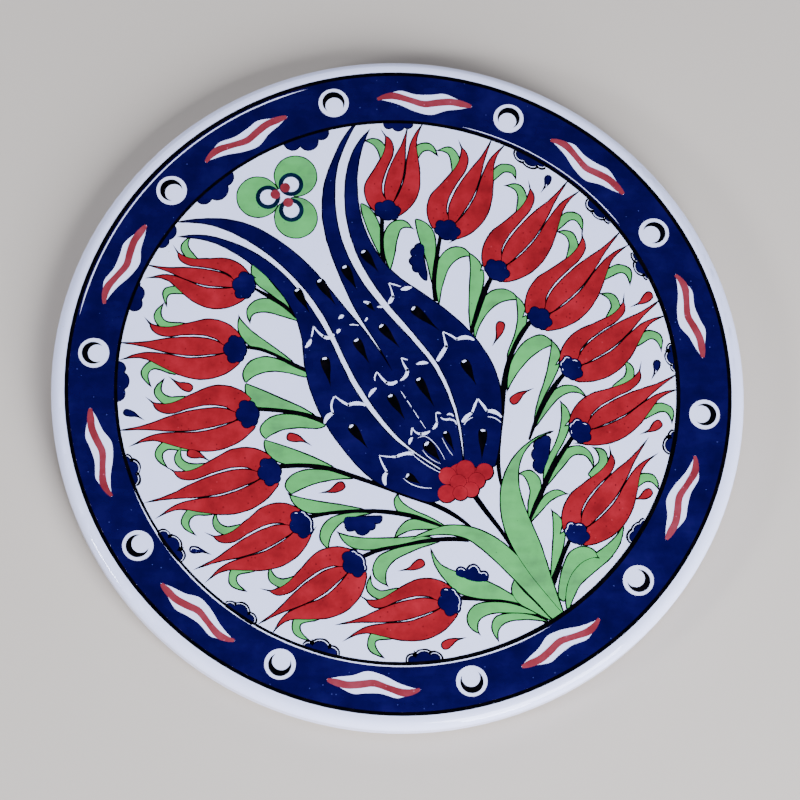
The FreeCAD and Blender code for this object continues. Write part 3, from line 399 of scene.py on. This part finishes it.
def glazed(name, tones, scale, spots=(), streak=None, relief=0.35):
    """A fired colour under clear glaze: mottled tones, spots, a soft orange-peel and a glassy coat."""
    mat, nt, bsdf = tree_of(name)
    coord = nt.nodes.new("ShaderNodeTexCoord").outputs["Object"]
    base = ramp(nt, noise(nt, coord, scale, 5.0, 0.6), list(zip((0.30, 0.5, 0.72), tones)))
    if streak:
        streak_scale, colour, strength = streak
        lines = ramp(nt, noise(nt, coord, streak_scale, 3.0, 0.5, (1.0, 5.0, 1.0)),
                     [(0.42, (0, 0, 0)), (0.68, (strength,) * 3)])
        base = mix(nt, base, colour, lines)
    for spot_scale, size, keep, colour in spots:
        base = mix(nt, base, colour, speck(nt, coord, spot_scale, size, keep))
    link(nt, base, bsdf.inputs["Base Color"])
    bsdf.inputs["Roughness"].default_value = 0.45
    bsdf.inputs["Specular IOR Level"].default_value = 0.0
    bsdf.inputs["Coat Weight"].default_value = 1.0
    bsdf.inputs["Coat Roughness"].default_value = 0.05
    fine = noise(nt, coord, 900.0, 3.0, 0.5)
    wave = noise(nt, coord, 90.0, 2.0, 0.5)
    soft = bump(nt, wave, relief, 0.0003)
    grain = bump(nt, fine, relief, 0.00005, soft)
    link(nt, grain, bsdf.inputs["Normal"])
    link(nt, soft, bsdf.inputs["Coat Normal"])
    return mat


# dark, middle and light tone of each fired colour
TONES = {
    "white": ((0.69, 0.715, 0.945), (0.72, 0.745, 0.97), (0.755, 0.775, 0.98)),
    "cobalt": ((0.0016, 0.0001, 0.026), (0.0034, 0.0003, 0.040), (0.0075, 0.0024, 0.057)),
    "dark_blue": ((0.0008, 0.003, 0.012), (0.0016, 0.008, 0.022), (0.004, 0.016, 0.034)),
    "black": ((0.0004, 0.0004, 0.0008), (0.0008, 0.0008, 0.0014), (0.003, 0.002, 0.003)),
    "red": ((0.165, 0.0074, 0.0106), (0.245, 0.0096, 0.0143), (0.325, 0.0138, 0.0225)),
    "rosette": ((0.160, 0.0070, 0.0110), (0.250, 0.0090, 0.0155), (0.340, 0.0150, 0.0240)),
    "border_red": ((0.160, 0.016, 0.022), (0.205, 0.023, 0.032), (0.250, 0.040, 0.056)),
    "green": ((0.062, 0.200, 0.066), (0.070, 0.335, 0.080), (0.084, 0.420, 0.100)),
}
# spots: scale, size, share of cells, colour; streak: scale, colour, strength
M = {
    "white_glaze": glazed("glaze_white", TONES["white"], 45.0,
                          [(210.0, 0.075, 0.012, (0.20, 0.18, 0.20)),
                           (700.0, 0.12, 0.02, (0.60, 0.60, 0.68))], relief=0.12),
    "cobalt": glazed("glaze_cobalt", TONES["cobalt"], 120.0, [(900.0, 0.15, 0.06, (0.030, 0.036, 0.14))],
                     (60.0, (0.0008, 0.0001, 0.024), 0.5)),
    "dark_blue": glazed("glaze_dark_blue", TONES["dark_blue"], 200.0),
    "ink_black": glazed("glaze_black", TONES["black"], 300.0),
    "tulip_red": glazed("glaze_red", TONES["red"], 160.0,
                        [(1100.0, 0.24, 0.16, (0.13, 0.006, 0.009)),
                         (700.0, 0.16, 0.06, (0.33, 0.022, 0.030))], relief=0.6),
    "rosette_red": glazed("glaze_rosette", TONES["rosette"], 160.0,
                          [(900.0, 0.2, 0.12, (0.22, 0.009, 0.013))], relief=0.6),
    "border_red": glazed("glaze_border_red", TONES["border_red"], 160.0,
                         [(1000.0, 0.2, 0.1, (0.32, 0.075, 0.11))], relief=0.5),
    "leaf_green": glazed("glaze_green", TONES["green"], 110.0, [(900.0, 0.14, 0.06, (0.050, 0.16, 0.055))],
                         (80.0, (0.092, 0.44, 0.112), 0.4)),
}


def clay_material():
    """Bare fired clay: blotchy, matt and a little gritty."""
    mat, nt, bsdf = tree_of("clay_bare")
    coord = nt.nodes.new("ShaderNodeTexCoord").outputs["Object"]
    base = ramp(nt, noise(nt, coord, 60.0, 6.0, 0.6),
                [(0.3, (0.42, 0.27, 0.17)), (0.55, (0.52, 0.36, 0.24)), (0.75, (0.60, 0.45, 0.32))])
    base = mix(nt, base, (0.24, 0.15, 0.10), speck(nt, coord, 500.0, 0.2, 0.12))
    link(nt, base, bsdf.inputs["Base Color"])
    bsdf.inputs["Roughness"].default_value = 0.9
    link(nt, bump(nt, noise(nt, coord, 700.0, 5.0, 0.7), 0.5, 0.0003), bsdf.inputs["Normal"])
    return mat


def felt_material():
    """Dark pressed felt with a fuzzy sheen."""
    mat, nt, bsdf = tree_of("felt_dark")
    coord = nt.nodes.new("ShaderNodeTexCoord").outputs["Object"]
    base = ramp(nt, noise(nt, coord, 900.0, 6.0, 0.75),
                [(0.35, (0.010, 0.009, 0.009)), (0.6, (0.030, 0.027, 0.025)), (0.8, (0.08, 0.07, 0.065))])
    link(nt, base, bsdf.inputs["Base Color"])
    bsdf.inputs["Roughness"].default_value = 1.0
    bsdf.inputs["Sheen Weight"].default_value = 0.5
    bsdf.inputs["Sheen Roughness"].default_value = 0.6
    link(nt, bump(nt, noise(nt, coord, 2500.0, 4.0, 0.8), 0.8, 0.0004), bsdf.inputs["Normal"])
    return mat


M["clay"], M["felt"] = clay_material(), felt_material()
for part in frame["record"]["subparts"]:
    obj = nodes[part["node"]]
    obj.data.materials.clear()
    obj.data.materials.append(M[part["material_slot"]])

# ---- drawn ink round the colours ----
ink = Sheet()
# width of the contour, and how far it runs on past a sharp tip
CONTOURS = {
    "left_tulip_petals": (0.31, 2.8), "right_tulip_petals": (0.31, 2.8), "tulip_cups": (0.28, 0.28),
    "great_tulip": (0.30, 1.4), "rosette": (0.36, 0.36), "trefoil_discs": (0.28, 0.28),
    "petal_hooks": (0.36, 1.3), "stem_leaves": (0.36, 1.3), "root_leaves": (0.36, 1.3),
    "field_clouds": (0.28, 0.28), "red_drops": (0.32, 2.3), "blue_drops": (0.30, 2.0),
    "ring_clouds": (0.24, 0.24),
}
for node, (width, reach) in CONTOURS.items():
    for i, loop in enumerate(outlines(node)):
        border(ink, loop, -TUCK, width, reach, 0.7 * i)
# the lower and right clouds have a second line that leaves a white thread between
for loop in outlines("ring_clouds"):
    x, y = middle(loop)
    if y < -15 or x > 25:
        border(ink, loop, SECOND[0], SECOND[1], SECOND[1], x)
ink.piece("drawn_ink", "ink_black")

# ---- marks on the great tulip ----
white, black = Sheet(), Sheet()
# spine, and the width at each of its points
ZIGZAGS = [
    ([(0.4, 27.0), (-1.2, 27.5), (-2.7, 27.9)], (0.2, 0.35, 0.25)),
    ([(-2.7, 27.9), (-1.9, 25.8), (-1.6, 24.2)], (0.25, 0.35, 0.7)),
    ([(-1.6, 24.2), (-2.2, 23.1), (-2.8, 22.2)], (0.7, 1.0, 0.2)),
    ([(0.7, 26.2), (1.9, 26.5), (3.3, 26.8)], (0.5, 1.1, 0.3)),
    ([(19.3, 12.7), (17.3, 13.3), (15.0, 12.7)], (0.5, 1.1, 0.6)),
    ([(15.0, 12.7), (13.2, 13.9), (11.3, 14.8)], (0.6, 0.4, 0.25)),
    ([(11.3, 14.8), (11.8, 12.7), (12.2, 10.8)], (0.25, 0.45, 0.8)),
    ([(12.2, 10.8), (11.0, 8.8), (10.0, 7.2)], (0.8, 1.0, 0.9)),
    ([(16.3, -9.3), (17.3, -8.1), (18.7, -7.0)], (0.7, 0.9, 0.6)),
    ([(18.7, -7.0), (19.4, -5.1), (20.2, -3.2)], (0.6, 0.6, 0.3)),
    ([(20.2, -3.2), (21.5, -4.9), (22.6, -6.6)], (0.3, 0.6, 0.6)),
    ([(22.6, -6.6), (24.4, -6.7), (26.2, -8.0)], (0.6, 1.0, 0.5)),
    ([(16.6, -10.2), (17.6, -8.9), (18.9, -8.3)], (0.15, 0.25, 0.1)),
    ([(22.7, -8.1), (24.3, -8.3), (26.1, -9.5)], (0.1, 0.25, 0.15)),
    ([(-24.3, 10.3), (-23.4, 11.4), (-23.0, 12.4)], (0.4, 1.0, 0.3)),
    ([(-22.8, 13.2), (-22.5, 14.6), (-22.3, 16.0)], (0.3, 0.4, 0.25)),
    ([(-22.3, 16.0), (-21.0, 14.3), (-19.7, 13.2)], (0.25, 0.5, 0.6)),
    ([(-19.7, 13.2), (-18.5, 12.9), (-17.2, 13.6)], (0.6, 1.0, 0.7)),
    ([(-19.4, -10.0), (-18.6, -8.3), (-17.2, -7.4)], (0.5, 1.1, 0.6)),
    ([(-17.2, -7.4), (-17.7, -5.3), (-16.8, -2.8)], (0.6, 0.5, 0.3)),
    ([(-16.8, -2.8), (-15.0, -4.2), (-13.3, -5.2)], (0.3, 0.5, 0.7)),
    ([(-13.3, -5.2), (-11.2, -4.7), (-9.0, -5.1)], (0.7, 1.0, 0.7)),
    ([(3.0, -18.0), (1.2, -18.1), (-1.0, -18.9)], (0.9, 0.8, 0.6)),
    ([(-1.0, -18.9), (-3.2, -18.9), (-5.4, -18.6)], (0.6, 0.35, 0.2)),
    ([(-5.4, -18.6), (-4.7, -20.6), (-3.4, -23.0)], (0.2, 0.4, 0.6)),
    ([(-3.4, -23.0), (-4.1, -24.3), (-3.9, -26.2)], (0.6, 1.1, 0.6)),
    ([(-6.4, 1.4), (-6.4, 2.6), (-5.8, 3.8)], (0.2, 0.4, 0.25)),
    ([(-5.8, 3.8), (-4.5, 2.0), (-3.4, 0.9)], (0.25, 0.5, 0.7)),
    ([(-3.4, 0.9), (-2.3, 0.6), (-0.9, 1.1)], (0.7, 0.9, 0.7)),
    ([(-8.0, -2.9), (-7.2, -1.6), (-6.2, -0.7)], (0.3, 0.9, 0.4)),
    ([(2.1, 7.1), (1.3, 7.3), (0.4, 7.7)], (0.2, 0.35, 0.2)),
    ([(0.4, 7.7), (1.1, 5.9), (2.0, 4.3)], (0.2, 0.4, 0.7)),
    ([(2.0, 4.3), (1.7, 2.9), (0.3, 1.6)], (0.7, 0.9, 0.4)),
    ([(4.5, 5.9), (5.8, 6.3), (7.3, 6.3)], (0.3, 0.9, 0.3)),
    ([(2.4, -15.4), (2.7, -14.4), (3.2, -13.8)], (0.4, 0.8, 0.2)),
    ([(2.9, -13.0), (3.0, -12.0), (3.2, -11.0)], (0.3, 0.4, 0.2)),
    ([(3.2, -11.0), (4.0, -12.3), (5.4, -12.8)], (0.2, 0.4, 0.6)),
    ([(5.4, -12.8), (6.4, -12.7), (7.6, -12.1)], (0.6, 0.8, 0.4)),
    ([(8.6, -11.4), (9.2, -10.6), (9.6, -9.7)], (0.4, 0.8, 0.4)),
    ([(9.6, -9.7), (9.4, -8.5), (9.3, -7.4)], (0.3, 0.3, 0.15)),
    ([(9.3, -7.3), (9.9, -7.1), (10.5, -7.3)], (0.3, 0.5, 0.2)),
    ([(10.6, -8.4), (11.8, -8.9), (12.9, -8.7)], (0.2, 0.45, 0.5)),
    ([(12.3, -7.6), (13.0, -7.4), (13.8, -7.9)], (0.3, 0.5, 0.3)),
    ([(13.0, -8.9), (14.2, -9.3), (14.6, -10.2)], (0.4, 0.4, 0.15)),
    ([(-15.6, 18.2), (-15.0, 18.7), (-14.6, 18.9)], (0.4, 0.9, 0.4)),
    ([(-16.1, 14.2), (-15.8, 14.8), (-15.4, 15.1)], (0.3, 0.8, 0.3)),
    ([(-9.1, 22.7), (-8.3, 22.6), (-7.5, 22.5)], (0.4, 0.7, 0.3)),
    ([(-5.6, 21.4), (-4.8, 21.4), (-4.0, 21.5)], (0.3, 0.6, 0.3)),
    ([(-12.9, 16.4), (-12.0, 16.5), (-10.6, 16.3)], (0.15, 0.3, 0.15)),
    ([(-8.9, 17.5), (-8.5, 18.0), (-8.4, 18.4)], (0.2, 0.5, 0.3)),
    ([(5.8, -17.0), (7.4, -19.0), (10.4, -20.7)], (0.06, 0.16, 0.06)),
    ([(4.6, -13.9), (6.6, -13.5), (9.0, -15.4), (11.5, -19.6)], (0.06, 0.15, 0.16, 0.06)),
    ([(0.3, -1.4), (1.4, -3.1)], (0.1, 0.26)), ([(2.0, -4.0), (3.0, -5.6)], (0.26, 0.1)),
    ([(3.5, -6.4), (4.8, -8.5)], (0.1, 0.26)), ([(5.3, -9.3), (6.6, -11.3)], (0.2, 0.1)),
    ([(2.2, -17.2), (5.8, -20.4), (10.2, -23.0)], (0.06, 0.2, 0.1)),
    ([(10.9, -13.8), (12.1, -16.3), (13.6, -18.5)], (0.06, 0.15, 0.06)),
    ([(0.8, -24.6), (3.6, -26.5), (8.0, -27.2)], (0.06, 0.22, 0.1)),
]
for spine, widths in ZIGZAGS:
    white.stroke(spine, widths, OVER)

SWELL, STRETCH = 1.18, 1.12   # every drop is brushed this much wider and longer
PAINTED_GLINT = (0.52, 0.26, 0.55)    # half sizes and offset of the painted highlight, a white glint on each drop's head, in head radii
# head, tail, radius of the head
DROPS = [
    ((-8.9, 35.9), (-5.6, 31.3), 1.0), ((-13.9, 31.6), (-11.2, 26.4), 1.05),
    ((-20.4, 27.8), (-16.9, 22.3), 1.05), ((-26.3, 25.2), (-23.6, 20.1), 1.0),
    ((4.2, 20.6), (9.9, 15.6), 1.05), ((-4.3, 15.7), (-0.3, 10.8), 1.0),
    ((-10.9, 11.7), (-8.1, 6.5), 1.0), ((-19.3, 6.6), (-18.0, 0.4), 1.05),
    ((17.1, 6.2), (19.6, 1.0), 1.05), ((5.2, 1.3), (8.6, -4.9), 1.0),
    ((-2.1, -3.2), (1.0, -8.5), 1.0), ((-12.2, -11.4), (-8.7, -16.2), 1.05),
    ((21.4, -12.4), (21.1, -18.9), 1.0), ((11.9, -12.8), (13.9, -17.2), 0.75),
    ((7.3, -16.0), (10.2, -19.8), 1.2), ((2.3, -24.2), (5.0, -26.0), 0.9),
    ((-7.9, 22.0), (-6.4, 20.3), 0.6),
]
# thin white threads just inside some of the blue shapes
threads(white, "tulip_cups", lambda x, y: x > 40 and y < 10, 0.38, 0.2, (-0.6, 0.8))
threads(white, "tulip_cups", lambda x, y: y < -30 and x < 20, 0.38, 0.18, (0.8, 0.6))
threads(white, "blue_drops", lambda x, y: True, 0.3, 0.24, (-0.7, 0.7))
threads(white, "field_clouds", lambda x, y: y < -45, 0.36, 0.2, (0.2, 1.0))
for head, tail, r in DROPS:
    r *= SWELL
    tail = (head[0] + (tail[0] - head[0]) * STRETCH, head[1] + (tail[1] - head[1]) * STRETCH)
    black.drop(head, tail, r, OVER)
    # painted highlight: a white glint dot laid on the head of each black drop
    dx, dy = head[0] - tail[0], head[1] - tail[1]
    d = math.hypot(dx, dy)
    at = (head[0] + dx / d * r * PAINTED_GLINT[2], head[1] + dy / d * r * PAINTED_GLINT[2])
    white.dot(at, PAINTED_GLINT[0] * r, PAINTED_GLINT[1] * r, math.degrees(math.atan2(dy, dx)) + 90, OVER + 0.01)
# one piece for the reserved white marks and the painted highlights on the drops
white.piece("reserved_marks_and_painted_highlights", "white_glaze")
black.piece("black_drops", "ink_black")

# ---- floor, light and camera ----
COOL = (0.76, 0.82, 1.0)    # colour of the lights
LENS, SENSOR = 157.5, 36.0  # mm
TILT = math.radians(15.82)  # the view's angle from straight down
TURN = math.radians(-11.0)  # and its turn round the plate
AWAY = 0.905                # from the camera to the face, m
TARGET = Vector((0.00006, -0.00373, FACE * MM))


def floor():
    """A plain pale square, a hair lower than the pads."""
    half, z = 1.2, -0.0001
    corners = [(-half, -half, z), (half, -half, z), (half, half, z), (-half, half, z)]
    mesh = bpy.data.meshes.new("floor")
    mesh.from_pydata(corners, [], [(0, 1, 2, 3)])
    obj = bpy.data.objects.new("floor", mesh)
    bpy.context.scene.collection.objects.link(obj)
    mat, _, bsdf = tree_of("floor_pale")
    bsdf.inputs["Base Color"].default_value = (0.50, 0.435, 0.345, 1)
    bsdf.inputs["Roughness"].default_value = 0.9
    obj.data.materials.append(mat)


def area(name, place, size, power):
    """A rectangular light that faces the plate."""
    light = bpy.data.lights.new(name, "AREA")
    light.shape = "RECTANGLE"
    light.size, light.size_y = size
    light.energy = power
    light.color = COOL
    obj = bpy.data.objects.new(name, light)
    bpy.context.scene.collection.objects.link(obj)
    obj.location = place
    obj.rotation_euler = (-Vector(place)).to_track_quat("-Z", "Y").to_euler()


def studio():
    """Soft surroundings: pale low down, nearly black overhead."""
    world = bpy.data.worlds.new("studio")
    bpy.context.scene.world = world
    world.use_nodes = True
    nt = world.node_tree
    height = nt.nodes.new("ShaderNodeSeparateXYZ")
    link(nt, nt.nodes.new("ShaderNodeTexCoord").outputs["Generated"], height.inputs[0])
    sky = ramp(nt, height.outputs["Z"], [(0.45, (0.40, 0.43, 0.52)), (0.80, (0.012, 0.013, 0.016))])
    link(nt, sky, nt.nodes["Background"].inputs[0])
    nt.nodes["Background"].inputs[1].default_value = 1.0


def camera():
    """Looks at the middle of the face from the front, high up, and rolled back by the turn."""
    lift = math.pi / 2 - TILT
    back = Vector((math.sin(TURN) * math.cos(lift), -math.cos(TURN) * math.cos(lift), math.sin(lift)))
    right = Vector((math.cos(TURN), math.sin(TURN), 0))
    up = right.cross(-back)
    c, s = math.cos(-TURN), math.sin(-TURN)
    lens = bpy.data.cameras.new("view")
    lens.sensor_width = SENSOR
    lens.lens = LENS
    lens.clip_start, lens.clip_end = 0.05, 10.0
    view = bpy.data.objects.new("view", lens)
    bpy.context.scene.collection.objects.link(view)
    axes = Matrix((c * right + s * up, -s * right + c * up, back)).transposed().to_4x4()
    view.matrix_world = Matrix.Translation(TARGET + back * AWAY) @ axes
    bpy.context.scene.camera = view


floor()
area("key", (0.44, -0.68, 0.60), (0.6, 0.6), 31.0)
area("window", (-1.07, -0.40, 0.62), (0.22, 0.22), 12.0)
area("top", (-0.20, 1.20, 0.90), (1.2, 0.5), 10.0)
area("low", (0.49, -1.18, 0.28), (0.32, 0.3), 17.0)
studio()
camera()
